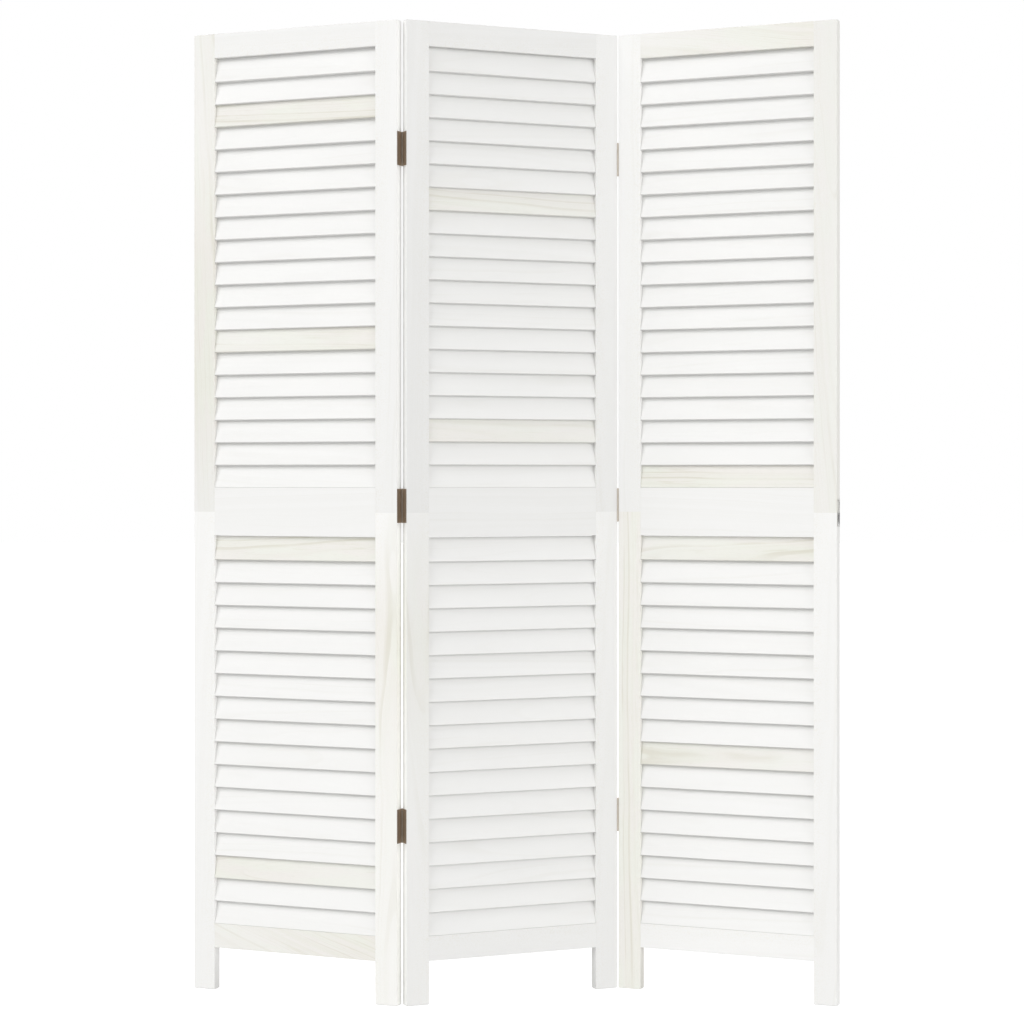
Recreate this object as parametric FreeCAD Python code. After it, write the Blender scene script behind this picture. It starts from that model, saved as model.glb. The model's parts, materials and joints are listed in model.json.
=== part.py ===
import FreeCAD, Part
import os

from FreeCAD import Placement, Rotation, Vector

# Three louvred panels in a zigzag row, joined edge to edge by two folds of three butt hinges.
# The row's frame: +X right, +Y back, +Z up; the origin is on the floor, in the middle of the row.
# Each panel is drawn in its own frame: x from its left edge, y from its front face, z from the floor.
# Millimetres and degrees throughout.

# Panel frames.
PANEL_HEIGHT = 1700.0
PANEL_WIDTH = 401.5
PANEL_THICKNESS = 17.5
ZIGZAG_ANGLE = 23.0
STILE_WIDTH = 41.75
LEG_HEIGHT = 75.0
END_RAIL_HEIGHT = 43.0
MIDDLE_RAIL_BOTTOM = 808.0
MIDDLE_RAIL_HEIGHT = 85.0
OUTER_ARRIS = 1.0
INNER_ARRIS = 0.5
FOOT_BEVEL = 1.5
HEAD_BEVEL = 0.8

# Fixed slats. Each leans back from its lower front edge and overlaps the one below.
UPPER_SLAT_COUNT = 19
LOWER_SLAT_COUNT = 17
SLAT_WIDTH = 43.0
SLAT_THICKNESS = 5.5
SLAT_TILT = 12.6
SLAT_SETBACK = 0.6
SLAT_ARRIS = 1.0
FIRST_SLAT_DROP = 42.8
GROOVE_DEPTH = 6.0
GROOVE_CLEARANCE = 0.1

# Glued dowels between rails and stiles.
DOWEL_RADIUS = 4.0
DOWEL_LENGTH = 32.0
DOWEL_CHAMFER = 1.0
DOWEL_END_SPACE = 0.5
END_RAIL_DOWEL_OFFSET = 11.0
MIDDLE_RAIL_DOWEL_OFFSET = 25.0

# Butt hinges, screwed to the panels' edge faces with their knuckles outside the fold.
HINGE_HEIGHTS = {"top": 1478.5, "middle": 862.0, "bottom": 309.5}
HINGE_LENGTH = 58.5
LEAF_THICKNESS = 1.0
LEAF_MARGIN = 0.1
LEAF_NOTCH = 1.3
AXIS_BEYOND_EDGE = 1.1
AXIS_BEYOND_FACE = 0.5
KNUCKLE_RADIUS = 1.4
KNUCKLE_COUNT = 5
KNUCKLE_GAP = 0.3
PIN_RADIUS = 0.7
PIN_CLEARANCE = 0.05
PIN_HEAD_RADIUS = 1.2
PIN_HEAD_HEIGHT = 0.6
PIN_HEAD_BEVEL = 0.3

# Countersunk wood screws: head radius, shank radius, length with the head, tip length.
HINGE_SCREW = (2.4, 1.4, 15.0, 2.5)
HINGE_SCREW_OFFSET = 20.0
CATCH_SCREW = (3.75, 1.75, 17.0, 3.0)
CATCH_SCREW_OFFSET = 19.5
TIP_RADIUS = 0.2
RECESS_WIDTH = 0.25
RECESS_DEPTH = 0.3

# Catch plate let into the right panel's free edge.
CATCH_HEIGHT = 850.0
CATCH_LENGTH = 49.0
CATCH_THICKNESS = 1.2
CATCH_MARGIN = 0.2
CATCH_BEVEL = 0.3

# Worked out from the sizes above.
OPENING_LEFT = STILE_WIDTH
OPENING_RIGHT = PANEL_WIDTH - STILE_WIDTH
OPENING_WIDTH = OPENING_RIGHT - OPENING_LEFT
LOWER_OPENING = (LEG_HEIGHT + END_RAIL_HEIGHT, MIDDLE_RAIL_BOTTOM)
UPPER_OPENING = (MIDDLE_RAIL_BOTTOM + MIDDLE_RAIL_HEIGHT, PANEL_HEIGHT - END_RAIL_HEIGHT)
RAILS = {
    "top_rail": (UPPER_OPENING[1], PANEL_HEIGHT, END_RAIL_DOWEL_OFFSET),
    "middle_rail": (LOWER_OPENING[1], UPPER_OPENING[0], MIDDLE_RAIL_DOWEL_OFFSET),
    "bottom_rail": (LEG_HEIGHT, LOWER_OPENING[0], END_RAIL_DOWEL_OFFSET),
}
HALF_THICKNESS = PANEL_THICKNESS / 2
AXIS_Y = PANEL_THICKNESS + AXIS_BEYOND_FACE
X_AXIS = Vector(1, 0, 0)
Y_AXIS = Vector(0, 1, 0)
Z_AXIS = Vector(0, 0, 1)


def box(x_range, y_range, z_range):
    """A plain block between two coordinates on each axis."""
    size = [high - low for low, high in (x_range, y_range, z_range)]
    return Part.makeBox(*size, Vector(x_range[0], y_range[0], z_range[0]))


def straight_edges(shape, direction, wanted=lambda point: True):
    """The edges of a shape that run along a direction and whose middle is wanted."""
    found = []
    for edge in shape.Edges:
        run = edge.Vertexes[-1].Point - edge.Vertexes[0].Point
        if run.Length > 0 and abs(run.dot(direction)) > 0.999 * run.Length:
            if wanted(edge.CenterOfMass):
                found.append(edge)
    return found


def edges_at_height(shape, height):
    """The edges of a shape that lie wholly at one height."""
    return [e for e in shape.Edges if all(abs(v.Z - height) < 1e-6 for v in e.Vertexes)]


# --- Slats ---------------------------------------------------------------------------------


def slat_heights(opening, count):
    """Heights of the slats' lower front edges; the lowest slat stands on the rail below."""
    bottom, top = opening
    pitch = (top - FIRST_SLAT_DROP - bottom) / (count - 1)
    return [top - FIRST_SLAT_DROP - i * pitch for i in range(count)]


def leaning_board(x_range, height, floor, grow=0.0, arris=0.0):
    """A board leaning back from a height, cut off level with the rail it may stand on."""
    section_y = (-grow, SLAT_THICKNESS + grow)
    section_z = (-grow, SLAT_WIDTH + grow)
    board = box(x_range, section_y, section_z)
    if arris:
        board = board.makeFillet(arris, straight_edges(board, X_AXIS))
    board.rotate(Vector(0, 0, 0), X_AXIS, -SLAT_TILT)
    board.translate(Vector(0, SLAT_SETBACK, height))
    if board.BoundBox.ZMin < floor:
        above_rail = box(x_range, (-SLAT_WIDTH, SLAT_WIDTH), (floor, floor + 2 * SLAT_WIDTH))
        board = board.common(above_rail)
    return board


def slat_group(opening, count):
    """The slats that fill one opening, with their ends seated in the stiles' grooves."""
    ends = (OPENING_LEFT - GROOVE_DEPTH, OPENING_RIGHT + GROOVE_DEPTH)
    slats = []
    for height in slat_heights(opening, count):
        slats += leaning_board(ends, height, opening[0], arris=SLAT_ARRIS).Solids
    return Part.makeCompound(slats)


def slat_grooves(x_range):
    """Cutters for the slanting grooves in one stile."""
    cutters = []
    for opening, count in ((UPPER_OPENING, UPPER_SLAT_COUNT), (LOWER_OPENING, LOWER_SLAT_COUNT)):
        for height in slat_heights(opening, count):
            cutters.append(leaning_board(x_range, height, opening[0], grow=GROOVE_CLEARANCE))
    return cutters


# --- Rails, dowels and stiles --------------------------------------------------------------


def rail(bottom, top):
    """A rail between the stiles, with eased long edges."""
    blank = box((OPENING_LEFT, OPENING_RIGHT), (0, PANEL_THICKNESS), (bottom, top))
    return blank.makeFillet(INNER_ARRIS, straight_edges(blank, X_AXIS))


def dowel_places():
    """The middle point of every dowel: two at each end of each rail."""
    places = []
    for bottom, top, offset in RAILS.values():
        for x in (OPENING_LEFT, OPENING_RIGHT):
            for side in (-1, 1):
                places.append(Vector(x, HALF_THICKNESS, (bottom + top) / 2 + side * offset))
    return places


def dowel(place):
    """One glued dowel, half in the rail and half in the stile."""
    start = place - Vector(DOWEL_LENGTH / 2, 0, 0)
    rod = Part.makeCylinder(DOWEL_RADIUS, DOWEL_LENGTH, start, X_AXIS)
    return rod.makeChamfer(DOWEL_CHAMFER, [e for e in rod.Edges if e.isClosed()])


def dowel_hole(place):
    """The hole through both boards for one dowel, a little longer than the dowel."""
    length = DOWEL_LENGTH + 2 * DOWEL_END_SPACE
    return Part.makeCylinder(DOWEL_RADIUS, length, place - Vector(length / 2, 0, 0), X_AXIS)


def stile(side):
    """A full-height stile with bevelled ends, eased edges and slat grooves."""
    left = side == "left"
    x_range = (0, STILE_WIDTH) if left else (OPENING_RIGHT, PANEL_WIDTH)
    inner_x = OPENING_LEFT if left else OPENING_RIGHT
    groove_end = inner_x - GROOVE_DEPTH if left else inner_x + GROOVE_DEPTH
    blank = box(x_range, (0, PANEL_THICKNESS), (0, PANEL_HEIGHT))
    blank = blank.makeChamfer(FOOT_BEVEL, edges_at_height(blank, 0))
    blank = blank.makeChamfer(HEAD_BEVEL, edges_at_height(blank, PANEL_HEIGHT))
    inner = straight_edges(blank, Z_AXIS, lambda p: abs(p.x - inner_x) < 1)
    blank = blank.makeFillet(INNER_ARRIS, inner)
    outer = straight_edges(blank, Z_AXIS, lambda p: abs(p.x - inner_x) > STILE_WIDTH / 2)
    blank = blank.makeFillet(OUTER_ARRIS, outer)
    return blank.cut(slat_grooves(tuple(sorted((inner_x, groove_end)))))


# --- Fastenings, drawn for a panel's right edge: x = 0 is the edge face, +x is outward ------


def wood_screw(size, head_x, y, z):
    """A countersunk screw driven along -x, with its head's flat face at head_x."""
    head_radius, shank_radius, length, tip = size
    head_height = head_radius - shank_radius
    inward = Vector(-1, 0, 0)
    shank_length = length - head_height - tip
    head = Part.makeCone(head_radius, shank_radius, head_height, Vector(head_x, y, z), inward)
    shank_start = Vector(head_x - head_height, y, z)
    shank = Part.makeCylinder(shank_radius, shank_length, shank_start, inward)
    tip_start = shank_start + inward * shank_length
    point = Part.makeCone(shank_radius, TIP_RADIUS, tip, tip_start, inward)
    return head.fuse([shank, point]).removeSplitter()


def cross_recess(size, head_x, y, z):
    """The cutter for a screw's cross slot."""
    reach = size[0] * 0.6
    half = size[0] * RECESS_WIDTH / 2
    x_range = (head_x - size[0] * RECESS_DEPTH, head_x + 1)
    upright = box(x_range, (y - half, y + half), (z - reach, z + reach))
    level = box(x_range, (y - reach, y + reach), (z - half, z + half))
    return upright.fuse(level)


def hinge_screw_spots():
    """Head position of the two screws in one leaf, about the hinge's middle."""
    y = (LEAF_MARGIN + PANEL_THICKNESS - LEAF_NOTCH) / 2
    return [(LEAF_THICKNESS, y, side * HINGE_SCREW_OFFSET) for side in (-1, 1)]


def knuckle_spans():
    """Height range of each knuckle, from the bottom, about the hinge's middle."""
    height = (HINGE_LENGTH - (KNUCKLE_COUNT - 1) * KNUCKLE_GAP) / KNUCKLE_COUNT
    starts = [-HINGE_LENGTH / 2 + i * (height + KNUCKLE_GAP) for i in range(KNUCKLE_COUNT)]
    return [(start, start + height) for start in starts]


def hinge_leaf(own_first):
    """A leaf with every other knuckle; own_first gives it the outermost ones."""
    half = HINGE_LENGTH / 2
    plate_y = (LEAF_MARGIN, PANEL_THICKNESS - LEAF_NOTCH)
    leaf = box((0, LEAF_THICKNESS), plate_y, (-half, half))
    bore_radius = PIN_RADIUS
    for index, (low, high) in enumerate(knuckle_spans()):
        if (index % 2 == 0) == own_first:
            neck_y = (plate_y[1], AXIS_Y - bore_radius)
            neck = box((0, LEAF_THICKNESS), neck_y, (low, high))
            centre = Vector(AXIS_BEYOND_EDGE, AXIS_Y, low)
            barrel = Part.makeCylinder(KNUCKLE_RADIUS, high - low, centre, Z_AXIS)
            leaf = leaf.fuse([neck, barrel])
    bore = Part.makeCylinder(
        bore_radius, HINGE_LENGTH + 2, Vector(AXIS_BEYOND_EDGE, AXIS_Y, -half - 1), Z_AXIS
    )
    screws = [wood_screw(HINGE_SCREW, *spot) for spot in hinge_screw_spots()]
    return leaf.cut([bore] + screws).removeSplitter()


def hinge_pin():
    """The pin, with a small riveted head at each end of the barrel."""
    half = HINGE_LENGTH / 2
    x, y = AXIS_BEYOND_EDGE, AXIS_Y
    pin = Part.makeCylinder(PIN_RADIUS - PIN_CLEARANCE, HINGE_LENGTH, Vector(x, y, -half), Z_AXIS)
    for end in (-1, 1):
        head = Part.makeCylinder(
            PIN_HEAD_RADIUS, PIN_HEAD_HEIGHT, Vector(x, y, end * half), Z_AXIS * end
        )
        rim = edges_at_height(head, end * (half + PIN_HEAD_HEIGHT))
        pin = pin.fuse(head.makeChamfer(PIN_HEAD_BEVEL, rim))
    return pin


def catch_plate():
    """The flat plate flush with the edge face."""
    half = CATCH_LENGTH / 2
    y_range = (CATCH_MARGIN, PANEL_THICKNESS - CATCH_MARGIN)
    plate = box((-CATCH_THICKNESS, 0), y_range, (-half, half))
    rim = [e for e in plate.Edges if all(abs(v.X) < 1e-6 for v in e.Vertexes)]
    return plate.makeChamfer(CATCH_BEVEL, rim).cut(catch_screws(recessed=False))


def catch_mortise():
    """The cutter for the plate's seat, open at both faces of the stile."""
    half = CATCH_LENGTH / 2
    return box((-CATCH_THICKNESS, 1), (-1, PANEL_THICKNESS + 1), (-half, half))


def catch_screws(recessed):
    """The catch plate's two screws, with or without their cross slots."""
    spots = [(0, HALF_THICKNESS, side * CATCH_SCREW_OFFSET) for side in (-1, 1)]
    screws = [wood_screw(CATCH_SCREW, *spot) for spot in spots]
    if recessed:
        pairs = zip(screws, spots)
        screws = [screw.cut(cross_recess(CATCH_SCREW, *spot)) for screw, spot in pairs]
    return screws


def hinge_screws(recessed):
    """One leaf's two screws, with or without their cross slots."""
    screws = [wood_screw(HINGE_SCREW, *spot) for spot in hinge_screw_spots()]
    if recessed:
        pairs = zip(screws, hinge_screw_spots())
        screws = [screw.cut(cross_recess(HINGE_SCREW, *spot)) for screw, spot in pairs]
    return screws


def on_edge(shape, edge, knuckle_face, height):
    """Moves a fastening to one of a panel's edges, in the panel's own frame."""
    fitted = shape.copy()
    if knuckle_face == "front":
        fitted = fitted.mirror(Vector(0, HALF_THICKNESS, 0), Y_AXIS)
    if edge == "left":
        fitted = fitted.mirror(Vector(0, 0, 0), X_AXIS)
    else:
        fitted.translate(Vector(PANEL_WIDTH, 0, 0))
    fitted.translate(Vector(0, 0, height))
    return fitted


# --- Assembly ------------------------------------------------------------------------------

# Where each panel carries hinge leaves: its edge, the face the knuckles lie beyond, the fold
# they belong to, and whether its leaves have the outermost knuckles and so keep the pins.
HINGED_EDGES = {
    "left": [("right", "back", "left_hinge", False)],
    "middle": [("left", "back", "left_hinge", True), ("right", "front", "right_hinge", True)],
    "right": [("left", "front", "right_hinge", False)],
}


def build_panel(name):
    """All pieces fixed to one panel, by node name, in the panel's own frame."""
    prefix = name + "_panel_"
    holes = [dowel_hole(place) for place in dowel_places()]
    nodes = {prefix + side + "_stile": stile(side).cut(holes) for side in ("left", "right")}
    for rail_name, (bottom, top, _) in RAILS.items():
        nodes[prefix + rail_name] = rail(bottom, top).cut(holes)
    nodes[prefix + "dowels"] = Part.makeCompound([dowel(place) for place in dowel_places()])
    nodes[prefix + "upper_slats"] = slat_group(UPPER_OPENING, UPPER_SLAT_COUNT)
    nodes[prefix + "lower_slats"] = slat_group(LOWER_OPENING, LOWER_SLAT_COUNT)
    for edge, face, fold, keeps_pin in HINGED_EDGES[name]:
        stile_name = prefix + edge + "_stile"
        screws = []
        for level, height in HINGE_HEIGHTS.items():
            leaf_name = "_".join([fold, level, "leaf", name])
            nodes[leaf_name] = on_edge(hinge_leaf(keeps_pin), edge, face, height)
            if keeps_pin:
                nodes["_".join([fold, level, "pin"])] = on_edge(hinge_pin(), edge, face, height)
            screws += [on_edge(s, edge, face, height) for s in hinge_screws(recessed=True)]
            drills = [on_edge(s, edge, face, height) for s in hinge_screws(recessed=False)]
            nodes[stile_name] = nodes[stile_name].cut(drills)
        nodes["_".join([fold, "screws", name])] = Part.makeCompound(screws)
    return nodes


def add_catch(nodes):
    """Lets the catch plate and its screws into the right panel's free edge."""
    edge = ("right", "back", CATCH_HEIGHT)
    stile_name = "right_panel_right_stile"
    cutters = [catch_mortise()] + catch_screws(recessed=False)
    nodes[stile_name] = nodes[stile_name].cut([on_edge(c, *edge) for c in cutters])
    nodes["edge_catch_plate"] = on_edge(catch_plate(), *edge)
    screws = [on_edge(s, *edge) for s in catch_screws(recessed=True)]
    nodes["edge_catch_screws"] = Part.makeCompound(screws)


def beside(angle, own_axis, shared_axis):
    """The placement of a panel turned by an angle, with its fold axis on the shared one."""
    turn = Rotation(Z_AXIS, angle)
    return Placement(shared_axis - turn.multVec(own_axis), turn)


LEFT_FOLD = {
    "left": Vector(PANEL_WIDTH + AXIS_BEYOND_EDGE, AXIS_Y, 0),
    "middle": Vector(-AXIS_BEYOND_EDGE, AXIS_Y, 0),
}
RIGHT_FOLD = {
    "middle": Vector(PANEL_WIDTH + AXIS_BEYOND_EDGE, -AXIS_BEYOND_FACE, 0),
    "right": Vector(-AXIS_BEYOND_EDGE, -AXIS_BEYOND_FACE, 0),
}
MIDDLE_PLACE = Placement(Vector(0, 0, 0), Rotation(Z_AXIS, ZIGZAG_ANGLE))
LEFT_AXIS = MIDDLE_PLACE.multVec(LEFT_FOLD["middle"])
RIGHT_AXIS = MIDDLE_PLACE.multVec(RIGHT_FOLD["middle"])
PANEL_PLACES = {
    "left": beside(-ZIGZAG_ANGLE, LEFT_FOLD["left"], LEFT_AXIS),
    "middle": MIDDLE_PLACE,
    "right": beside(-ZIGZAG_ANGLE, RIGHT_FOLD["right"], RIGHT_AXIS),
}


def build_screen():
    """Every node of the screen in the row's frame, and the two fold axes."""
    screen = {}
    for name, place in PANEL_PLACES.items():
        nodes = build_panel(name)
        if name == "right":
            add_catch(nodes)
        for node, shape in nodes.items():
            screen[node] = shape.transformed(place.toMatrix())
    outline = Part.makeCompound(list(screen.values())).optimalBoundingBox()
    to_origin = Vector(-outline.Center.x, -outline.Center.y, -outline.ZMin)
    for shape in screen.values():
        shape.translate(to_origin)
    return screen, {"left_fold": LEFT_AXIS + to_origin, "right_fold": RIGHT_AXIS + to_origin}


def main():
    os.makedirs("parts", exist_ok=True)
    screen, axes = build_screen()
    for node, shape in screen.items():
        shape.exportStep("parts/" + node + ".step")
    for name, axis in axes.items():
        print(name, "axis at x", round(axis.x, 4), "y", round(axis.y, 4))
    return screen, axes


main()
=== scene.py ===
import json
import math
import random

import bmesh
import bpy
from mathutils import Matrix, Vector


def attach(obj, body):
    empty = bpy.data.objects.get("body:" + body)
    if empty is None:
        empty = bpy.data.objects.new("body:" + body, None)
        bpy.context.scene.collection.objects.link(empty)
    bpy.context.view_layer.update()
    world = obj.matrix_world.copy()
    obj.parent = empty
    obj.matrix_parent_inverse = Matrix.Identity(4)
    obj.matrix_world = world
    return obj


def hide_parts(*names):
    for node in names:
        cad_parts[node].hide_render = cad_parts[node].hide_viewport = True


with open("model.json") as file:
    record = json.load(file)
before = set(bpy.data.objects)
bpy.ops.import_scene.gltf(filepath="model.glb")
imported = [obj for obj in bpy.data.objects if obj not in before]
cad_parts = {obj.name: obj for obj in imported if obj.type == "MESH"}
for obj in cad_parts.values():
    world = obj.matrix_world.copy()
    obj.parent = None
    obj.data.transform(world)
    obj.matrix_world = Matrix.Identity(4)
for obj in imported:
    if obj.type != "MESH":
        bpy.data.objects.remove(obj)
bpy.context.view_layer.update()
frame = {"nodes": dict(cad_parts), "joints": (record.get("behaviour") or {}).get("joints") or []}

# A white louvred folding screen of three hinged panels, in metres and degrees and in the frame's own axes.
# Each panel is built in its own frame: x from its left edge, y from its front face, z from the floor.
# Each board is built in its own frame: x along the grain, y through its thickness, z across its width.

ZIGZAG_ANGLE = 23.0
PANEL_ANGLES = {"left": -ZIGZAG_ANGLE, "middle": ZIGZAG_ANGLE, "right": -ZIGZAG_ANGLE}

OUTER_ARRIS = 0.001
INNER_ARRIS = 0.00025
FOOT_BEVEL = 0.0015
HEAD_BEVEL = 0.0008
BUTT_BEVEL = 0.00005
ARC_STEPS = 4
ARRIS_REACH = 0.9

SLAT_COUNTS = {"upper": 19, "lower": 17}
SLAT_WIDTH = 0.043
SLAT_THICKNESS = 0.0055
SLAT_TILT = 12.6
SLAT_SETBACK = 0.0006
SLAT_ARRIS = 0.001
SLAT_STATIONS = 12
STILE_STATIONS = 4
FIRST_SLAT_DROP = 0.0428
GROOVE_DEPTH = 0.006
GROOVE_CLEARANCE = 0.0001
GROOVE_OVERCUT = 0.002

# Creamy slats are a little warped: they lean back less than the others, by this angle where cream is 1.
CREAM_LEAN = 3.8


# --- How creamy each board is, and how bright with painted shade, at even steps along its grain from its left or lower end ---

CREAM = {
    ("left", "left_stile", "upper"): (0.25, 1.0, 1.1, 0.55, 0.45),
    ("left", "right_stile", "lower"): (0.3, 0.3, 0.4, 0.9, 0.05),
    ("left", "bottom_rail"): (0.45, 1.0),
    ("left", "upper", 3): (0.85, 0.95),
    ("left", "upper", 13): (0.6, 1.0),
    ("left", "lower", 1): (0.8, 0.9),
    ("left", "lower", 15): (1.0, 0.6),
    ("middle", "left_stile", "lower"): (0.1, 0.1, 0.15, 0.55, 0.05),
    ("middle", "upper", 7): (0.75, 0.6),
    ("middle", "upper", 17): (0.8, 0.55),
    ("right", "left_stile", "lower"): (0.85, 0.75),
    ("right", "right_stile", "upper"): (0.5, 0.45),
    ("right", "top_rail"): (0.4, 0.95),
    ("right", "upper", 19): (1.0, 0.8),
    ("right", "lower", 1): (0.6, 1.0),
    ("right", "lower", 10): (1.0, 0.5),
}
PLAIN = (0.0, 0.0)

# Painted shade in these tones: most stile halves are darker toward their lower end, and the middle panel's
# frame boards, which face away from the key lamp, are darker all over; the rest is each board's own tone.
TONES_WITH_PAINTED_SHADE = {
    ("left", "left_stile", "upper"): (0.965, 0.98, 0.985, 1.02, 1.01),
    ("left", "left_stile", "lower"): (0.99, 1.04),
    ("left", "right_stile", "upper"): (0.98, 1.025),
    ("left", "right_stile", "lower"): (1.05, 1.05, 1.045, 1.03, 1.055),
    ("middle", "left_stile", "upper"): (0.91, 0.955),
    ("middle", "left_stile", "lower"): (0.985, 0.985, 0.985, 0.965, 0.965),
    ("middle", "right_stile", "upper"): (0.935, 0.98),
    ("middle", "right_stile", "lower"): (0.955, 1.0),
    ("middle", "top_rail"): (0.947, 0.947),
    ("middle", "middle_rail"): (0.955, 0.955),
    ("middle", "bottom_rail"): (0.969, 0.969),
    ("right", "left_stile", "upper"): (1.0, 1.035, 1.035),
    ("right", "left_stile", "lower"): (1.035, 1.045),
    ("right", "right_stile", "upper"): (0.993, 0.99),
    ("right", "right_stile", "lower"): (0.985, 1.025),
    ("right", "top_rail"): (1.025, 1.03),
    ("right", "bottom_rail"): (1.015, 1.015),
}
SLAT_TONES = {"left": (0.977, 0.977), "middle": (0.982, 0.982), "right": (0.977, 0.977)}
EVEN_TONE = (1.0, 1.0)

# The narrow faces of a stile are painted lighter, as painted light on faces that look to the sides and on
# the inner faces in shade beside the slats; the screen's free right end has less of it.
NARROW_FACE_PAINTED_LIGHT = 1.12
FREE_END_PAINTED_LIGHT = {"upper": 1.03, "lower": 0.985}
# At the bottom of the legs these tones take over on the inner and the outer face: painted shade on the inner
# face, under the bottom rail, and a smaller painted light on the outer face.
INNER_FOOT_PAINTED_SHADE = 0.84
OUTER_FOOT_PAINTED_LIGHT = 1.06
FOOT_HEIGHT = 0.01
FACE_TOLERANCE = 0.00001

# How far across a slat a point is, for the painted shade in the gaps between slats along its long edges: 0
# at its bottom edge and 1 at its top. A creamy slat's top edge gets less of that painted shade, and the
# boards of the frame none.
CREAMY_SLAT_SHADE_REACH = 0.8
FRAME_ACROSS = 0.5

# Each board is thought of as sawn from a log whose middle runs behind it, a little askew: where along the
# log it starts, how far the middle is behind its face, how far to one side, and how much it drifts.
LOG_STARTS = (-40, 40)
LOG_DEPTHS = (0.03, 0.075)
LOG_SIDES = (-0.03, 0.03)
LOG_DRIFT = 0.035
# The drift across these boards is given here, because their grain runs out at an angle.
GRAIN_CLIMBS = {
    ("left", "bottom_rail"): 0.32,
    ("right", "top_rail"): 0.16,
    ("right", "right_stile", "upper"): -0.06,
}


def along(values, t):
    """The value at a part of a board's length, between values spread evenly along it."""
    place = t * (len(values) - 1)
    i = min(int(place), len(values) - 2)
    return values[i] + (values[i + 1] - values[i]) * (place - i)


# --- Places taken from the frame ------------------------------------------------------------------------


def turned_box(node, turn_back):
    """Lowest and highest corner of a CAD node in axes turned back by a panel's angle."""
    points = [turn_back @ vertex.co for vertex in frame["nodes"][node].data.vertices]
    low = Vector([min(point[i] for point in points) for i in range(3)])
    high = Vector([max(point[i] for point in points) for i in range(3)])
    return low, high


class Panel:
    """One panel: its body, its own frame, and the boxes of its boards in that frame."""

    BOARDS = ("left_stile", "right_stile", "top_rail", "middle_rail", "bottom_rail")

    def __init__(self, name):
        self.name = name
        self.body = name + "_panel"
        turn = Matrix.Rotation(math.radians(PANEL_ANGLES[name]), 4, "Z")
        turn_back = turn.inverted()
        boxes = {board: turned_box(self.node(board), turn_back) for board in self.BOARDS}
        corner = boxes["left_stile"][0]
        self.matrix = turn @ Matrix.Translation(corner)
        self.boxes = {board: (low - corner, high - corner) for board, (low, high) in boxes.items()}
        self.openings = {
            "upper": (self.top("middle_rail"), self.bottom("top_rail")),
            "lower": (self.top("bottom_rail"), self.bottom("middle_rail")),
        }
        self.slat_ends = (
            self.boxes["left_stile"][1].x - GROOVE_DEPTH,
            self.boxes["right_stile"][0].x + GROOVE_DEPTH,
        )
        self.half_height = self.top("left_stile") / 2

    def node(self, part):
        return self.name + "_panel_" + part

    def top(self, board):
        return self.boxes[board][1].z

    def bottom(self, board):
        return self.boxes[board][0].z


# --- Boards ---------------------------------------------------------------------------------------------


class Board:
    """A straight board in its own frame: its size and how its edges and ends are eased."""

    def __init__(self, key, size, arrises, end_bevels=(BUTT_BEVEL, BUTT_BEVEL), stations=1):
        self.key = key
        self.name = "_".join(str(word) for word in key)
        self.length, self.thickness, self.width = size
        self.arrises = arrises
        self.end_bevels = end_bevels
        self.stations = stations
        self.is_slat = key[1] in SLAT_COUNTS
        self.cream = CREAM.get(key, PLAIN)
        self.tones = TONES_WITH_PAINTED_SHADE.get(key, EVEN_TONE)
        # Painted light and shade on the board's two narrow faces, the one at z = 0 first, and what they are
        # at its foot.
        self.narrow_tones = EVEN_TONE
        self.foot_tones = None

    def section(self, inset):
        """Points round the board's section in (y, z), with its four corners rounded."""
        deep, wide = self.thickness, self.width
        corners = [(0, 0, 180), (deep, 0, 270), (deep, wide, 0), (0, wide, 90)]
        points = []
        for (y, z, start), arris in zip(corners, self.arrises):
            radius = max(arris - inset / 2, INNER_ARRIS / 2)
            reach = radius + inset
            centre_y = y + reach if y == 0 else y - reach
            centre_z = z + reach if z == 0 else z - reach
            for step in range(ARC_STEPS + 1):
                angle = math.radians(start + 90 * step / ARC_STEPS)
                points.append((centre_y + radius * math.cos(angle), centre_z + radius * math.sin(angle)))
        return points

    def mesh(self):
        """The board as a closed mesh of quads with an n-gon at each end."""
        mesh = bmesh.new()
        start, end = self.end_bevels
        places = [(0.0, start), (start, 0.0)]
        places += [(self.length * i / self.stations, 0.0) for i in range(1, self.stations)]
        places += [(self.length - end, 0.0), (self.length, end)]
        rings = [[mesh.verts.new((x, y, z)) for y, z in self.section(inset)] for x, inset in places]
        for first, second in zip(rings, rings[1:]):
            for i in range(len(first)):
                j = (i + 1) % len(first)
                mesh.faces.new((first[i], first[j], second[j], second[i]))
        mesh.faces.new(list(reversed(rings[0])))
        mesh.faces.new(rings[-1])
        bmesh.ops.recalc_face_normals(mesh, faces=mesh.faces)
        return mesh

    def tone(self, point):
        """Brightness of the paint at a point, with the painted light and shade on both narrow faces told
        apart.
        """
        tone = along(self.tones, point.x / self.length)
        at_foot = self.foot_tones is not None and point.x < FOOT_HEIGHT
        narrow_tones = self.foot_tones if at_foot else self.narrow_tones
        for side, narrow_face_light in zip((0.0, self.width), narrow_tones):
            if abs(point.z - side) < FACE_TOLERANCE:
                tone *= narrow_face_light
        return tone

    def on_arris(self, y, z):
        """True on the rounded part of a long edge."""
        near = max(self.arrises) * ARRIS_REACH
        return min(y, self.thickness - y) < near and min(z, self.width - z) < near


def store(data, name, kind, values):
    """Keeps one number or vector per vertex on a mesh, for the materials to read."""
    layer = data.attributes.new(name, kind, "POINT")
    if kind == "FLOAT_VECTOR":
        layer.data.foreach_set("vector", [number for value in values for number in value])
    else:
        layer.data.foreach_set("value", values)


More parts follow.
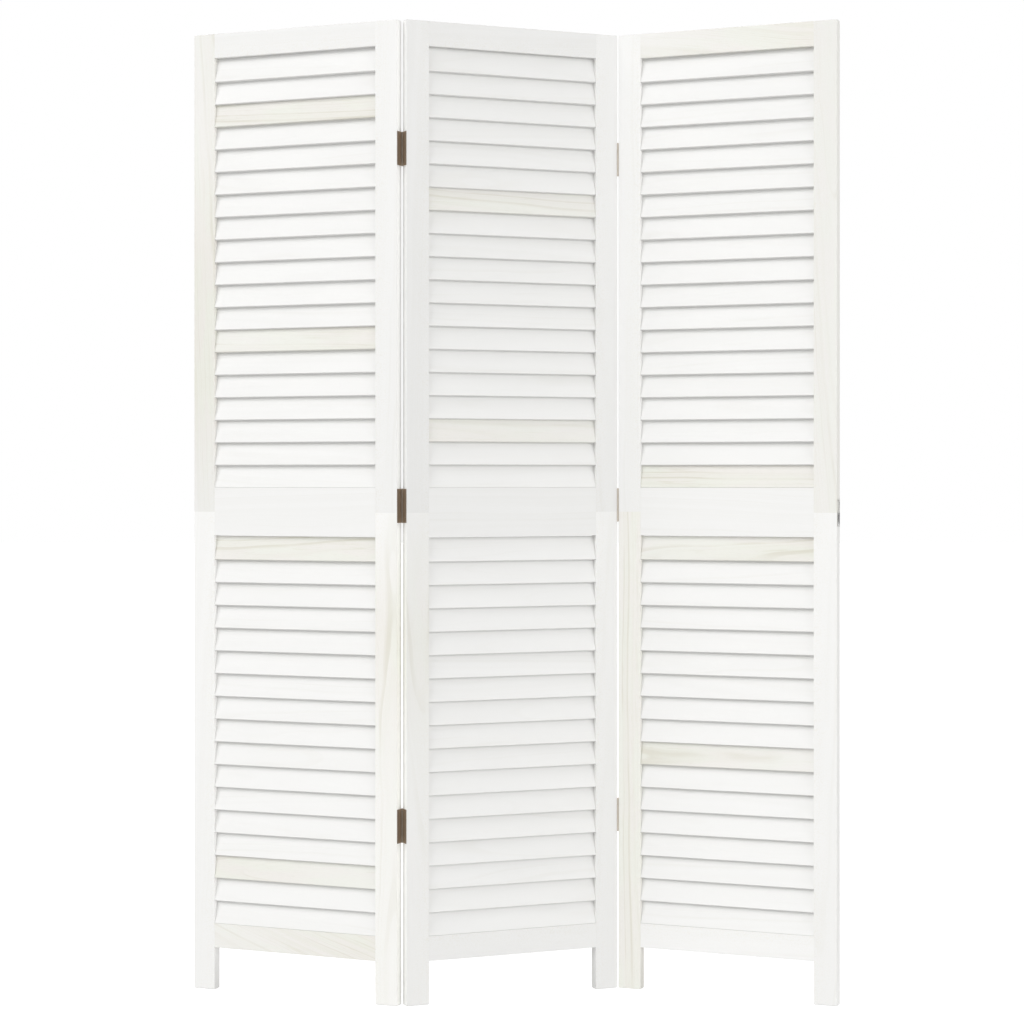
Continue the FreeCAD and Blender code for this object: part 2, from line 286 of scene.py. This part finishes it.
def store_looks(data, board):
    """Where each vertex lies in the wood's log, and how creamy, how bright with painted light and shade, how
    worn and how near an edge it is.
    """
    rng = random.Random(board.name)
    start = Vector((rng.uniform(*LOG_STARTS), rng.uniform(*LOG_DEPTHS), rng.uniform(*LOG_SIDES)))
    climb_y, climb_z = rng.uniform(-LOG_DRIFT, LOG_DRIFT), rng.uniform(-LOG_DRIFT, LOG_DRIFT)
    climb_z = GRAIN_CLIMBS.get(board.key, climb_z)
    places = [vertex.co.copy() for vertex in data.vertices]
    grain = [start + Vector((p.x, p.y + p.x * climb_y, p.z + p.x * climb_z)) for p in places]
    store(data, "grain_place", "FLOAT_VECTOR", grain)
    store(data, "cream", "FLOAT", [along(board.cream, p.x / board.length) for p in places])
    store(data, "tone", "FLOAT", [board.tone(p) for p in places])
    store(data, "arris", "FLOAT", [1.0 if board.on_arris(p.y, p.z) else 0.0 for p in places])
    reach = 1.0 if board.cream == PLAIN else CREAMY_SLAT_SHADE_REACH
    across = [p.z / board.width * reach if board.is_slat else FRAME_ACROSS for p in places]
    store(data, "across", "FLOAT", across)


def new_object(name, data):
    piece = bpy.data.objects.new(name, data)
    bpy.context.scene.collection.objects.link(piece)
    return piece


def add_piece(name, data, body, material, nodes):
    """Puts a finished mesh in the scene, riding a body in place of some CAD nodes."""
    piece = new_object(name, data)
    data.materials.clear()
    data.materials.append(material)
    for polygon in data.polygons:
        polygon.use_smooth = True
    normals = piece.modifiers.new("flat faces stay flat", "WEIGHTED_NORMAL")
    normals.keep_sharp = True
    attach(piece, body)
    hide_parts(*nodes)


def to_data(name, mesh):
    data = bpy.data.meshes.new(name)
    mesh.to_mesh(data)
    mesh.free()
    return data


# --- Slats ----------------------------------------------------------------------------------------------


class Slat:
    """One slat: its board, its place in a panel, and how far it leans at each end."""

    def __init__(self, panel, group, number):
        bottom, top = panel.openings[group]
        count = SLAT_COUNTS[group]
        pitch = (top - FIRST_SLAT_DROP - bottom) / (count - 1)
        left, right = panel.slat_ends
        size = (right - left, SLAT_THICKNESS, SLAT_WIDTH)
        key = (panel.name, group, number)
        self.board = Board(key, size, (SLAT_ARRIS,) * 4, stations=SLAT_STATIONS)
        self.board.name = "_".join([panel.name, group, "slat", str(number).zfill(2)])
        self.board.tones = SLAT_TONES[panel.name]
        self.height = top - FIRST_SLAT_DROP - (number - 1) * pitch
        self.left = left
        self.floor = bottom
        self.lowest = number == count

    def lean(self, t):
        """The slat's angle from upright at a part of its length."""
        return math.radians(SLAT_TILT - CREAM_LEAN * along(self.board.cream, t))

    def leaned(self, y, z, t):
        """Where a point of the slat's section comes to lie in the panel's y and z."""
        lean = self.lean(t)
        back = y * math.cos(lean) + z * math.sin(lean)
        up = z * math.cos(lean) - y * math.sin(lean)
        return SLAT_SETBACK + back, self.height + up

    def placed(self, point):
        """A point of the slat's board, moved into the panel's frame and leaned back."""
        y, z = self.leaned(point.y, point.z, point.x / self.board.length)
        return Vector((self.left + point.x, y, z))


def cut_level(mesh, height):
    """Cuts off what lies below a height and closes the cut."""
    everything = mesh.verts[:] + mesh.edges[:] + mesh.faces[:]
    cut = bmesh.ops.bisect_plane(
        mesh, geom=everything, plane_co=(0, 0, height), plane_no=(0, 0, 1), clear_inner=True
    )
    rim = [item for item in cut["geom_cut"] if isinstance(item, bmesh.types.BMEdge)]
    bmesh.ops.contextual_create(mesh, geom=rim)


def build_slat(panel, slat, material):
    """One slat, twisted a little where it is warped, and cut level if it stands on a rail."""
    data = to_data(slat.board.name, slat.board.mesh())
    store_looks(data, slat.board)
    mesh = bmesh.new()
    mesh.from_mesh(data)
    for vertex in mesh.verts:
        vertex.co = slat.placed(vertex.co)
    if slat.lowest:
        cut_level(mesh, slat.floor)
    mesh.to_mesh(data)
    mesh.free()
    data.transform(panel.matrix)
    node = panel.node(slat.board.key[1] + "_slats")
    add_piece(slat.board.name, data, panel.body, material, [node])


# --- Frame boards ---------------------------------------------------------------------------------------


def groove_cutter(slats, inner_x, side):
    """One mesh that fills the grooves for the ends of some slats in a stile's inner face."""
    cutter = bmesh.new()
    slat_end = 0.0 if side == "left" else 1.0
    into, beyond = (-GROOVE_DEPTH, GROOVE_OVERCUT) if side == "left" else (GROOVE_DEPTH, -GROOVE_OVERCUT)
    x_range = sorted((inner_x + into, inner_x + beyond))
    low, deep, wide = -GROOVE_CLEARANCE, SLAT_THICKNESS + GROOVE_CLEARANCE, SLAT_WIDTH + GROOVE_CLEARANCE
    corners = [(low, low), (deep, low), (deep, wide), (low, wide)]
    for slat in slats:
        lowest = slat.floor if slat.lowest else -math.inf
        outline = [slat.leaned(y, z, slat_end) for y, z in corners]
        rings = [[cutter.verts.new((x, y, max(z, lowest))) for y, z in outline] for x in x_range]
        for i in range(4):
            j = (i + 1) % 4
            cutter.faces.new((rings[0][i], rings[0][j], rings[1][j], rings[1][i]))
        cutter.faces.new(list(reversed(rings[0])))
        cutter.faces.new(rings[1])
    bmesh.ops.recalc_face_normals(cutter, faces=cutter.faces)
    return cutter


def carved(data, cutter_data):
    """A mesh with another mesh cut out of it."""
    blank = new_object("blank", data)
    cutter = new_object("cutter", cutter_data)
    cut = blank.modifiers.new("cut", "BOOLEAN")
    cut.operation = "DIFFERENCE"
    cut.solver = "EXACT"
    cut.object = cutter
    evaluated = blank.evaluated_get(bpy.context.evaluated_depsgraph_get())
    result = bpy.data.meshes.new_from_object(evaluated)
    for item in (blank, cutter):
        mesh = item.data
        bpy.data.objects.remove(item)
        bpy.data.meshes.remove(mesh)
    return result


# Stands a board up: its length becomes the panel's height, and its width runs toward the panel's left.
STAND_UP = Matrix(((0, 0, -1, 0), (0, 1, 0, 0), (1, 0, 0, 0), (0, 0, 0, 1)))


def build_stile(panel, side, slats, material):
    """A stile in two lengths, one above the other, with grooves for the slats."""
    low, high = panel.boxes[side + "_stile"]
    inner_x = high.x if side == "left" else low.x
    eased, round_edge = (INNER_ARRIS, INNER_ARRIS), (OUTER_ARRIS, OUTER_ARRIS)
    at_low_z, at_high_z = (eased, round_edge) if side == "left" else (round_edge, eased)
    arrises = at_low_z + at_high_z
    halves = {
        "lower": (low.z, panel.half_height, (FOOT_BEVEL, BUTT_BEVEL)),
        "upper": (panel.half_height, high.z, (BUTT_BEVEL, HEAD_BEVEL)),
    }
    for half, (bottom, top, bevels) in halves.items():
        size = (top - bottom, high.y - low.y, high.x - low.x)
        board = Board((panel.name, side + "_stile", half), size, arrises, bevels, STILE_STATIONS)
        free_end = panel.name == "right" and side == "right"
        # Painted light on the stile's narrow faces, and painted shade on the inner face of its foot.
        board.narrow_tones = (FREE_END_PAINTED_LIGHT[half] if free_end else NARROW_FACE_PAINTED_LIGHT, NARROW_FACE_PAINTED_LIGHT)
        if half == "lower":
            board.foot_tones = (INNER_FOOT_PAINTED_SHADE, OUTER_FOOT_PAINTED_LIGHT)
            if side == "right":
                board.foot_tones = (OUTER_FOOT_PAINTED_LIGHT, INNER_FOOT_PAINTED_SHADE)
        placement = Matrix.Translation(Vector((high.x, low.y, bottom))) @ STAND_UP
        blank = to_data("blank", board.mesh())
        blank.transform(placement)
        data = carved(blank, to_data("cutter", groove_cutter(slats[half], inner_x, side)))
        data.name = board.name
        data.transform(placement.inverted())
        store_looks(data, board)
        data.transform(panel.matrix @ placement)
        add_piece(board.name, data, panel.body, material, [panel.node(side + "_stile")])


def build_rail(panel, part, material):
    """A rail between the stiles; only its free long edges are well rounded."""
    low, high = panel.boxes[part]
    size = (high.x - low.x, high.y - low.y, high.z - low.z)
    below = OUTER_ARRIS if part == "bottom_rail" else INNER_ARRIS
    above = OUTER_ARRIS if part == "top_rail" else INNER_ARRIS
    board = Board((panel.name, part), size, (below, below, above, above))
    data = to_data(board.name, board.mesh())
    store_looks(data, board)
    data.transform(panel.matrix @ Matrix.Translation(low))
    add_piece(board.name, data, panel.body, material, [panel.node(part)])


def build_panel(panel, material):
    slats = {
        group: [Slat(panel, group, number) for number in range(1, count + 1)]
        for group, count in SLAT_COUNTS.items()
    }
    for side in ("left", "right"):
        build_stile(panel, side, slats, material)
    for part in ("top_rail", "middle_rail", "bottom_rail"):
        build_rail(panel, part, material)
    for group in slats.values():
        for slat in group:
            build_slat(panel, slat, material)


# --- Materials ------------------------------------------------------------------------------------------

# Growth rings: how far they wander in metres, and how close together the fine and the broad ones are.
RING_WAVE = 0.014
RINGS_PER_METRE = 230.0
BROAD_RINGS_PER_METRE = 75.0
# The painted shade along the long edges of a slat, in the gaps between the slats.
SLAT_GAP_PAINTED_SHADE = 0.87
# How deep the surfaces' relief is, in metres.
PAINT_RELIEF = 0.00005
BRUSH_RELIEF = 0.00002
DOWEL_RELIEF = 0.00005
ROLLED_RELIEF = 0.00002


def opaque(red, green, blue):
    return (red, green, blue, 1.0)


WHITE = opaque(1.0, 1.0, 1.0)

# The tints of the paint, in itself and where the wood shows through it.
WHITE_PAINT = opaque(0.806, 0.804, 0.7915)
WHITE_OVER_BROAD_RINGS = opaque(0.793, 0.7905, 0.775)
WHITE_OVER_RINGS = opaque(0.70, 0.69, 0.64)
WHITE_OVER_FIBRES = opaque(0.74, 0.735, 0.70)
ROSY_CREAM = opaque(0.762, 0.742, 0.700)
GREENISH_CREAM = opaque(0.752, 0.756, 0.692)
CREAM_OVER_BROAD_RINGS = opaque(0.715, 0.708, 0.632)
CREAM_OVER_RINGS = opaque(0.60, 0.575, 0.475)
CREAM_OVER_STREAKS = opaque(0.625, 0.615, 0.50)
CREAM_OVER_FIBRES = opaque(0.66, 0.64, 0.56)
CREAM_OVER_PORES = opaque(0.58, 0.55, 0.46)
WORN_EDGE = opaque(0.735, 0.712, 0.64)

PALE_BIRCH = opaque(0.66, 0.5, 0.32)
DARK_BIRCH = opaque(0.5, 0.35, 0.2)
CLOUDY_BIRCH = opaque(0.7, 0.55, 0.37)

# Metals of one colour: light and dark tint, roughness, and how metallic they are.
METALS = {
    "hinge_screw_bronze": (opaque(0.3, 0.22, 0.15), opaque(0.26, 0.19, 0.13), 0.38, 0.0),
    "hinge_pin_zinc": (opaque(0.56, 0.525, 0.475), opaque(0.5, 0.465, 0.42), 0.4, 0.2),
    "catch_zinc": (opaque(0.5, 0.485, 0.45), opaque(0.44, 0.425, 0.39), 0.36, 0.5),
    "catch_screw_black": (opaque(0.05, 0.045, 0.04), opaque(0.035, 0.032, 0.028), 0.4, 0.3),
}
SPECK_GAIN = 1.5

# A hinge leaf is painted darker between these distances from the hinge's axis: painted light near the axis,
# where the fold is in shade, and painted shade toward the panels' corners. Its knuckle, lighter in colour,
# which also lifts the shade at the bottom of a fold, ends between the other two.
LEAF_PAINTED_SHADE_SPAN = (0.002, 0.0155)
KNUCKLE_EDGE = (0.0015, 0.0021)
BRONZE_PAINTED_LIGHT = opaque(0.44, 0.325, 0.225)
BRONZE_PAINTED_SHADE = opaque(0.18, 0.132, 0.09)
CLOUDY_BRONZE = opaque(0.16, 0.115, 0.08)
SPECK_BRONZE = opaque(0.5, 0.4, 0.3)
LIGHT_KNUCKLE = opaque(0.60, 0.54, 0.465)
DARK_KNUCKLE = opaque(0.53, 0.475, 0.405)


class Nodes:
    """Short names for making and joining the shader nodes of one material."""

    def __init__(self, name):
        self.material = bpy.data.materials.new(name)
        self.material.use_nodes = True
        self.tree = self.material.node_tree
        self.shader = self.tree.nodes["Principled BSDF"]

    def join(self, value, socket):
        """Links a socket, or sets a plain value."""
        if isinstance(value, bpy.types.NodeSocket):
            self.tree.links.new(value, socket)
        else:
            socket.default_value = value

    def attribute(self, name, output="Fac"):
        node = self.tree.nodes.new("ShaderNodeAttribute")
        node.attribute_name = name
        return node.outputs[output]

    def place(self):
        """The object's own coordinates in metres."""
        return self.tree.nodes.new("ShaderNodeTexCoord").outputs["Object"]

    def stretch(self, vector, scale):
        node = self.tree.nodes.new("ShaderNodeMapping")
        node.vector_type = "POINT"
        node.inputs["Scale"].default_value = scale
        self.join(vector, node.inputs["Vector"])
        return node.outputs["Vector"]

    def noise(self, vector, detail, roughness, distortion=0.0):
        node = self.tree.nodes.new("ShaderNodeTexNoise")
        node.inputs["Scale"].default_value = 1.0
        node.inputs["Detail"].default_value = detail
        node.inputs["Roughness"].default_value = roughness
        node.inputs["Distortion"].default_value = distortion
        self.join(vector, node.inputs["Vector"])
        return node.outputs["Fac"]

    def distance(self, vector, centre):
        """How far a place is from a line through a centre given on two axes."""
        split = self.tree.nodes.new("ShaderNodeSeparateXYZ")
        self.join(vector, split.inputs["Vector"])
        offsets = [self.maths("SUBTRACT", split.outputs[axis], value) for axis, value in centre.items()]
        squares = [self.maths("MULTIPLY", offset, offset) for offset in offsets]
        return self.maths("SQRT", self.maths("ADD", *squares), 0.0)

    def rings(self, vector, waviness, per_metre):
        """Uneven growth rings round the x axis, made wavy by another value."""
        radius = self.distance(vector, {"Y": 0.0, "Z": 0.0})
        wavy = self.maths("ADD", radius, self.maths("MULTIPLY", waviness, RING_WAVE))
        node = self.tree.nodes.new("ShaderNodeTexNoise")
        node.noise_dimensions = "1D"
        node.inputs["Scale"].default_value = 1.0
        node.inputs["Detail"].default_value = 3.0
        node.inputs["Roughness"].default_value = 0.6
        self.join(self.maths("MULTIPLY", wavy, per_metre), node.inputs["W"])
        return node.outputs["Fac"]

    def ramp(self, value, start, end, low=0.0, high=1.0):
        """Maps one range of a value smoothly onto another, and clamps it there."""
        node = self.tree.nodes.new("ShaderNodeMapRange")
        node.interpolation_type = "SMOOTHSTEP"
        for socket, number in zip(("From Min", "From Max", "To Min", "To Max"), (start, end, low, high)):
            node.inputs[socket].default_value = number
        self.join(value, node.inputs["Value"])
        return node.outputs["Result"]

    def maths(self, operation, first, second):
        node = self.tree.nodes.new("ShaderNodeMath")
        node.operation = operation
        self.join(first, node.inputs[0])
        self.join(second, node.inputs[1])
        return node.outputs["Value"]

    def blend(self, factor, first, second, kind="MIX"):
        """Mixes two colours. Inputs 6 and 7 and output 2 are the ones that this node has for colours."""
        node = self.tree.nodes.new("ShaderNodeMix")
        node.data_type = "RGBA"
        node.blend_type = kind
        self.join(factor, node.inputs["Factor"])
        self.join(first, node.inputs[6])
        self.join(second, node.inputs[7])
        return node.outputs[2]

    def grey(self, value):
        """A number as a grey colour."""
        node = self.tree.nodes.new("ShaderNodeCombineColor")
        for socket in ("Red", "Green", "Blue"):
            self.join(value, node.inputs[socket])
        return node.outputs["Color"]

    def bump(self, height, distance, under=None):
        node = self.tree.nodes.new("ShaderNodeBump")
        node.inputs["Distance"].default_value = distance
        node.inputs["Strength"].default_value = 1.0
        self.join(height, node.inputs["Height"])
        if under is not None:
            self.join(under, node.inputs["Normal"])
        return node.outputs["Normal"]

    def finish(self, colour, roughness, normal, metallic=0.0):
        self.join(colour, self.shader.inputs["Base Color"])
        self.join(roughness, self.shader.inputs["Roughness"])
        self.join(normal, self.shader.inputs["Normal"])
        self.shader.inputs["Metallic"].default_value = metallic
        return self.material


def painted_wood(name):
    """Thin white satin paint over pale flat-sawn wood, which shows through where the paint is thin; painted
    light and shade in its tones.
    """
    nodes = Nodes(name)
    grain = nodes.attribute("grain_place", "Vector")
    cream_amount = nodes.attribute("cream")
    tone = nodes.attribute("tone")
    arris = nodes.attribute("arris")
    across = nodes.attribute("across")

    sway = nodes.noise(nodes.stretch(grain, (3.5, 9, 9)), 2, 0.5)
    rings = nodes.rings(grain, sway, RINGS_PER_METRE)
    broad_rings = nodes.rings(grain, sway, BROAD_RINGS_PER_METRE)
    patches = nodes.noise(nodes.stretch(grain, (6, 34, 34)), 2, 0.5)
    hues = nodes.noise(nodes.stretch(grain, (9, 42, 42)), 1, 0.5)
    streaks = nodes.noise(nodes.stretch(grain, (9, 190, 190)), 3, 0.6, 0.4)
    fibres = nodes.noise(nodes.stretch(grain, (22, 900, 900)), 2, 0.6)
    pores = nodes.noise(nodes.stretch(grain, (90, 2300, 2300)), 1, 0.5)
    brush = nodes.noise(nodes.stretch(grain, (16, 1500, 1500)), 2, 0.5)
    peel = nodes.noise(nodes.stretch(grain, (420, 420, 420)), 2, 0.5)

    visible = nodes.ramp(patches, 0.36, 0.62)
    ring_strength = nodes.ramp(patches, 0.38, 0.6, 0.25, 1)
    ring_lines = nodes.maths("MULTIPLY", nodes.ramp(rings, 0.54, 0.72), ring_strength)
    streak_lines = nodes.maths("MULTIPLY", nodes.ramp(streaks, 0.56, 0.72), visible)

    white = nodes.blend(nodes.ramp(broad_rings, 0.35, 0.7), WHITE_PAINT, WHITE_OVER_BROAD_RINGS)
    white = nodes.blend(nodes.maths("MULTIPLY", ring_lines, 0.16), white, WHITE_OVER_RINGS)
    white = nodes.blend(nodes.ramp(fibres, 0.52, 0.8, 0, 0.12), white, WHITE_OVER_FIBRES)

    cream = nodes.blend(nodes.ramp(hues, 0.4, 0.62), ROSY_CREAM, GREENISH_CREAM)
    cream = nodes.blend(nodes.ramp(broad_rings, 0.45, 0.68, 0, 0.65), cream, CREAM_OVER_BROAD_RINGS)
    cream = nodes.blend(nodes.maths("MULTIPLY", ring_lines, 0.6), cream, CREAM_OVER_RINGS)
    cream = nodes.blend(nodes.maths("MULTIPLY", streak_lines, 0.45), cream, CREAM_OVER_STREAKS)
    cream = nodes.blend(nodes.ramp(fibres, 0.5, 0.8, 0, 0.25), cream, CREAM_OVER_FIBRES)
    cream = nodes.blend(nodes.ramp(pores, 0.62, 0.74, 0, 0.3), cream, CREAM_OVER_PORES)

    colour = nodes.blend(cream_amount, white, cream)
    worn = nodes.maths("MULTIPLY", arris, nodes.ramp(peel, 0.5, 0.66, 0, 0.35))
    colour = nodes.blend(worn, colour, WORN_EDGE)
    # Painted shade in the gaps between the slats: a darker band along each slat's top edge and along its
    # bottom edge.
    painted_shade_top = nodes.ramp(across, 0.83, 0.95, 1.0, SLAT_GAP_PAINTED_SHADE)
    painted_shade_bottom = nodes.ramp(across, 0.01, 0.03, SLAT_GAP_PAINTED_SHADE, 1.0)
    tone = nodes.maths("MULTIPLY", tone, nodes.maths("MULTIPLY", painted_shade_top, painted_shade_bottom))
    colour = nodes.blend(1.0, colour, nodes.grey(tone), "MULTIPLY")

    roughness = nodes.ramp(patches, 0.3, 0.7, 0.46, 0.54)
    roughness = nodes.maths("ADD", roughness, nodes.ramp(fibres, 0.4, 0.8, 0, 0.06))
    relief = nodes.maths("ADD", nodes.ramp(rings, 0.45, 0.75, 1, 0), nodes.ramp(pores, 0.6, 0.74, 0.35, 0))
    surface = nodes.bump(relief, PAINT_RELIEF)
    surface = nodes.bump(nodes.maths("ADD", brush, peel), BRUSH_RELIEF, surface)
    return nodes.finish(colour, roughness, surface)


def bare_wood(name):
    """Turned birch, with fine grain along the dowels."""
    nodes = Nodes(name)
    place = nodes.place()
    grain = nodes.noise(nodes.stretch(place, (40, 900, 900)), 3, 0.6)
    clouds = nodes.noise(nodes.stretch(place, (60, 60, 60)), 2, 0.5)
    colour = nodes.blend(nodes.ramp(grain, 0.35, 0.7), PALE_BIRCH, DARK_BIRCH)
    colour = nodes.blend(nodes.ramp(clouds, 0.3, 0.7, 0, 0.4), colour, CLOUDY_BIRCH)
    return nodes.finish(colour, nodes.ramp(grain, 0.3, 0.7, 0.6, 0.75), nodes.bump(grain, DOWEL_RELIEF))


def metal_textures(nodes, place):
    """Soft clouds, the grain of rolled sheet, and fine rubbed specks."""
    clouds = nodes.noise(nodes.stretch(place, (130, 130, 60)), 3, 0.6)
    rolled = nodes.noise(nodes.stretch(place, (2600, 2600, 500)), 2, 0.5)
    specks = nodes.noise(nodes.stretch(place, (1800, 1800, 1800)), 1, 0.5)
    return clouds, rolled, specks


def lacquered_metal(name, light, dark, roughness, metallic):
    """Lacquered or plated steel, a little cloudy in colour."""
    nodes = Nodes(name)
    clouds, rolled, specks = metal_textures(nodes, nodes.place())
    colour = nodes.blend(nodes.ramp(clouds, 0.3, 0.7), light, dark)
    lighter = opaque(*[min(1.0, value * SPECK_GAIN) for value in light[:3]])
    colour = nodes.blend(nodes.ramp(specks, 0.66, 0.74, 0, 0.6), colour, lighter)
    rough = nodes.ramp(clouds, 0.3, 0.7, roughness - 0.05, roughness + 0.08)
    return nodes.finish(colour, rough, nodes.bump(rolled, ROLLED_RELIEF), metallic)


def hinge_metal(name, joint):
    """Bronze-lacquered leaves with painted light near the axis and painted shade away from it, and light
    zinc-plated knuckles.
    """
    nodes = Nodes(name)
    place = nodes.place()
    axis_x, axis_y, _ = joint["pos_m"]
    from_axis = nodes.distance(place, {"X": axis_x, "Y": axis_y})
    clouds, rolled, specks = metal_textures(nodes, place)
    # Painted light and shade: lighter near the axis, in the fold's shade, and darker toward the panels'
    # corners.
    colour = nodes.blend(nodes.ramp(from_axis, *LEAF_PAINTED_SHADE_SPAN), BRONZE_PAINTED_LIGHT, BRONZE_PAINTED_SHADE)
    colour = nodes.blend(nodes.ramp(clouds, 0.3, 0.7, 0, 0.2), colour, CLOUDY_BRONZE)
    colour = nodes.blend(nodes.ramp(specks, 0.66, 0.74, 0, 0.4), colour, SPECK_BRONZE)
    knuckle = nodes.blend(nodes.ramp(clouds, 0.3, 0.7), LIGHT_KNUCKLE, DARK_KNUCKLE)
    colour = nodes.blend(nodes.ramp(from_axis, *KNUCKLE_EDGE, 1, 0), colour, knuckle)
    return nodes.finish(colour, nodes.ramp(clouds, 0.3, 0.7, 0.37, 0.5), nodes.bump(rolled, ROLLED_RELIEF))


# --- The screen -----------------------------------------------------------------------------------------

paint = painted_wood("white_painted_wood")
birch = bare_wood("birch_dowels")
leaf_bronzes = {joint["name"]: hinge_metal(joint["name"] + "_bronze", joint) for joint in frame["joints"]}
metals = {metal: lacquered_metal(metal, *look) for metal, look in METALS.items()}

for name in PANEL_ANGLES:
    build_panel(Panel(name), paint)


def material_for(node):
    """The material of a CAD node that stays as it is."""
    if node.endswith("_dowels"):
        return birch
    if node == "edge_catch_plate":
        return metals["catch_zinc"]
    if node == "edge_catch_screws":
        return metals["catch_screw_black"]
    if "_screws_" in node:
        return metals["hinge_screw_bronze"]
    if node.endswith("_pin"):
        return metals["hinge_pin_zinc"]
    return leaf_bronzes[node.split("_")[0] + "_fold"]


BOARD_ENDINGS = ("_stile", "_rail", "_slats")
for node, piece in frame["nodes"].items():
    if not node.endswith(BOARD_ENDINGS):
        piece.data.materials.clear()
        piece.data.materials.append(material_for(node))

# --- Floor, light and camera ----------------------------------------------------------------------------

SKY_STRENGTH = 0.4
# What the camera sees is a matt floor with a glow of its own; what lights the screen from below is the last.
FLOOR_GREY = 0.35
FLOOR_BRIGHTNESS = 0.8
FLOOR_GLOW = 0.885
FLOOR_HALF = 30.0

# Broad lamps from far away: azimuth, elevation, spread in degrees, strength. Azimuth 0 is the front and
# 90 the right.
LAMPS = {
    "key": (-57, 35, 45, 1.83),
    "fill": (50, 10, 40, 1.3),
    "side": (80, 10, 45, 0.12),
    "back": (170, 40, 50, 1.2),
}

CAMERA_PLACE = (0.00035, -4.2956, 0.9095)
FOCAL_LENGTH_MM = 85.96
SENSOR_WIDTH_MM = 36.0
CAMERA_SHIFT_UP = -0.0329

scene = bpy.context.scene
scene.view_settings.view_transform = "Standard"


def camera_or_light(tree, seen, lit):
    """Mixes two shaders: one for what the camera sees, one for the light that is given off."""
    path = tree.nodes.new("ShaderNodeLightPath")
    mix = tree.nodes.new("ShaderNodeMixShader")
    tree.links.new(path.outputs["Is Camera Ray"], mix.inputs["Fac"])
    tree.links.new(lit, mix.inputs[1])
    tree.links.new(seen, mix.inputs[2])
    return mix.outputs["Shader"]


def build_floor():
    """A plain white floor that shows a faint shadow where something stands on it."""
    data = bpy.data.meshes.new("floor")
    corners = [(-FLOOR_HALF, -FLOOR_HALF, 0), (FLOOR_HALF, -FLOOR_HALF, 0)]
    corners += [(FLOOR_HALF, FLOOR_HALF, 0), (-FLOOR_HALF, FLOOR_HALF, 0)]
    data.from_pydata(corners, [], [(0, 1, 2, 3)])
    floor = new_object("floor", data)
    material = bpy.data.materials.new("white_floor")
    material.use_nodes = True
    tree = material.node_tree
    tree.nodes.remove(tree.nodes["Principled BSDF"])
    matt = tree.nodes.new("ShaderNodeBsdfDiffuse")
    matt.inputs["Color"].default_value = opaque(FLOOR_GREY, FLOOR_GREY, FLOOR_GREY)
    bright = tree.nodes.new("ShaderNodeEmission")
    bright.inputs["Strength"].default_value = FLOOR_BRIGHTNESS
    seen = tree.nodes.new("ShaderNodeAddShader")
    tree.links.new(matt.outputs["BSDF"], seen.inputs[0])
    tree.links.new(bright.outputs["Emission"], seen.inputs[1])
    glow = tree.nodes.new("ShaderNodeEmission")
    glow.inputs["Strength"].default_value = FLOOR_GLOW
    surface = camera_or_light(tree, seen.outputs["Shader"], glow.outputs["Emission"])
    tree.links.new(surface, tree.nodes["Material Output"].inputs["Surface"])
    data.materials.append(material)


def build_sky():
    """Even light from all round, in front of a white backdrop."""
    world = bpy.data.worlds.new("studio")
    scene.world = world
    world.use_nodes = True
    tree = world.node_tree
    lit = tree.nodes["Background"]
    lit.inputs["Color"].default_value = WHITE
    lit.inputs["Strength"].default_value = SKY_STRENGTH
    seen = tree.nodes.new("ShaderNodeBackground")
    seen.inputs["Color"].default_value = WHITE
    surface = camera_or_light(tree, seen.outputs["Background"], lit.outputs["Background"])
    tree.links.new(surface, tree.nodes["World Output"].inputs["Surface"])


def add_lamp(name, azimuth, elevation, spread, strength):
    """A broad soft light that shines on the screen from one direction."""
    data = bpy.data.lights.new(name, "SUN")
    data.energy = strength
    data.angle = math.radians(spread)
    lamp = new_object(name, data)
    across, up = math.radians(azimuth), math.radians(elevation)
    toward = Vector((math.sin(across) * math.cos(up), -math.cos(across) * math.cos(up), math.sin(up)))
    lamp.rotation_euler = toward.to_track_quat("Z", "Y").to_euler()


def add_camera():
    """A level camera in front of the screen, a little above its middle."""
    data = bpy.data.cameras.new("camera")
    data.lens = FOCAL_LENGTH_MM
    data.sensor_width = SENSOR_WIDTH_MM
    data.shift_y = CAMERA_SHIFT_UP
    camera = new_object("camera", data)
    camera.location = CAMERA_PLACE
    camera.rotation_euler = (math.radians(90), 0, 0)
    scene.camera = camera


build_floor()
build_sky()
for lamp_name, settings in LAMPS.items():
    add_lamp(lamp_name, *settings)
add_camera()
